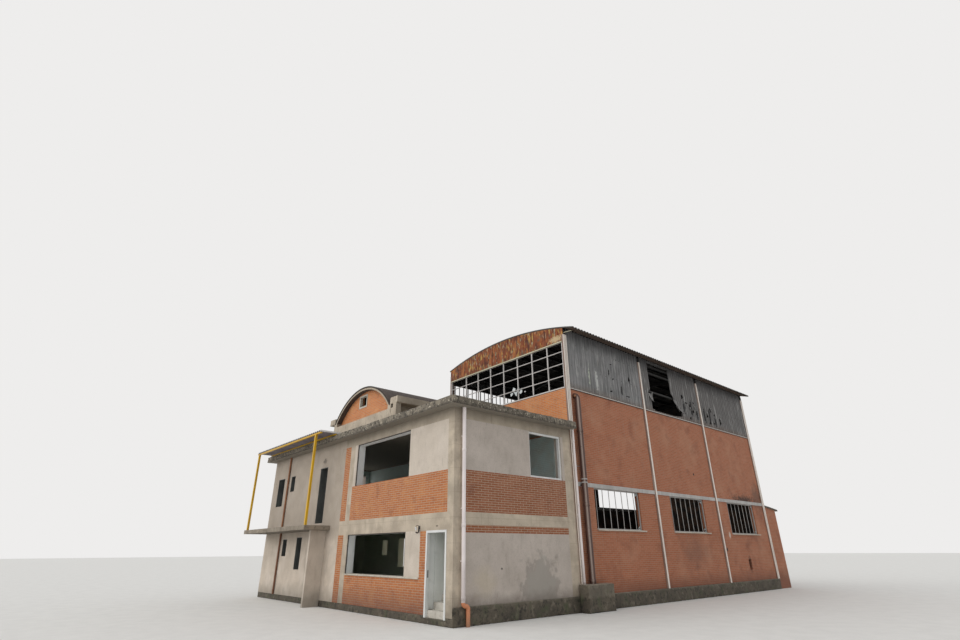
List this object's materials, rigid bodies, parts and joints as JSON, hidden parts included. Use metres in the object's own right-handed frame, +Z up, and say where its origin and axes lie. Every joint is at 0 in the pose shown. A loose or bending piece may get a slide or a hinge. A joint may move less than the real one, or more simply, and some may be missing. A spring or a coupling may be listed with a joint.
{
  "type": "factory building",
  "caption": "Disused brick factory hall with a barrel roof on steel posts, joined to a two-storey office block with a vaulted roof house, balcony and canopy.",
  "frame": {"origin": "middle of the building's box, at yard level", "axes": "+Z up; +Y runs back along the hall from the entrance front; +X points to the yard side of the hall"},
  "size_m": [14.45, 22.75, 10.0799],
  "materials": {
    "base_concrete": "dirty weathered cast concrete",
    "floor_concrete": "worn grey screed",
    "frame_concrete": "weathered painted cast concrete",
    "roof_concrete": "dark crumbling cast concrete with lichen",
    "front_brick": "orange pressed brick with pale joints",
    "side_brick": "red-brown pressed brick with pale joints",
    "gable_brick": "bright orange pressed brick",
    "front_plaster": "stained cement render",
    "side_plaster": "stained grey cement render with bare patches",
    "white_wall": "limewashed plaster",
    "step_stone": "pale stone step",
    "sill_stone": "pale cast sill",
    "white_paint": "white gloss paint, dirty",
    "yellow_paint": "yellow gloss paint, worn",
    "canopy_metal": "dull corrugated sheet",
    "vault_felt": "weathered bitumen felt",
    "dark_metal": "dark paint with rust",
    "white_plastic": "dirty white pipe",
    "orange_plastic": "orange drain pipe",
    "brown_paint": "brown paint with rust",
    "grey_steel": "pale grey paint, streaked",
    "cladding_sheet": "weathered blue-grey corrugated sheet",
    "rusty_steel": "heavily rusted sheet with ochre paint left",
    "roof_sheet": "weathered fibre-cement sheet"
  },
  "bodies": {
    "root": {"office_base": "base_concrete", "office_floor": "floor_concrete", "office_frame": "frame_concrete", "front_brick_panels": "front_brick", "side_brick_panels": "side_brick", "front_plaster_panels": "front_plaster", "side_plaster_panels": "side_plaster", "wing_front_wall": "front_plaster", "wing_end_wall": "side_plaster", "wing_back_wall": "side_plaster", "upper_floor": "floor_concrete", "office_roof": "roof_concrete", "stair_partition": "white_wall", "stair_flight": "floor_concrete", "door_step": "step_stone", "door_frame": "white_paint", "front_window_sill": "sill_stone", "side_window_frame": "white_paint", "balcony": "roof_concrete", "balcony_fin": "front_plaster", "canopy_frame": "yellow_paint", "canopy_sheet": "canopy_metal", "roof_house_base": "roof_concrete", "roof_house_gables": "front_brick", "roof_house_gutters": "roof_concrete", "roof_house_vault": "vault_felt", "roof_house_window": "white_paint", "wall_lamp": "dark_metal", "white_downpipes": "white_plastic", "corner_drain": "orange_plastic", "wing_downpipe": "brown_paint", "hall_base": "base_concrete", "hall_floor": "floor_concrete", "pipe_block": "base_concrete", "hall_posts": "grey_steel", "wall_beams": "grey_steel", "wall_top_rails": "grey_steel", "cladding_rails": "dark_metal", "hall_end_walls": "gable_brick", "lower_brick": "side_brick", "upper_brick": "side_brick", "hall_window_sills": "sill_stone", "near_cladding": "cladding_sheet", "far_cladding": "cladding_sheet", "gable_grid": "grey_steel", "gable_sheets": "rusty_steel", "roof_ribs": "dark_metal", "roof_purlins": "dark_metal", "hall_roof": "roof_sheet", "brown_pipe": "brown_paint", "leanto_walls": "side_brick", "leanto_roof": "roof_sheet"}
  },
  "joints": []
}
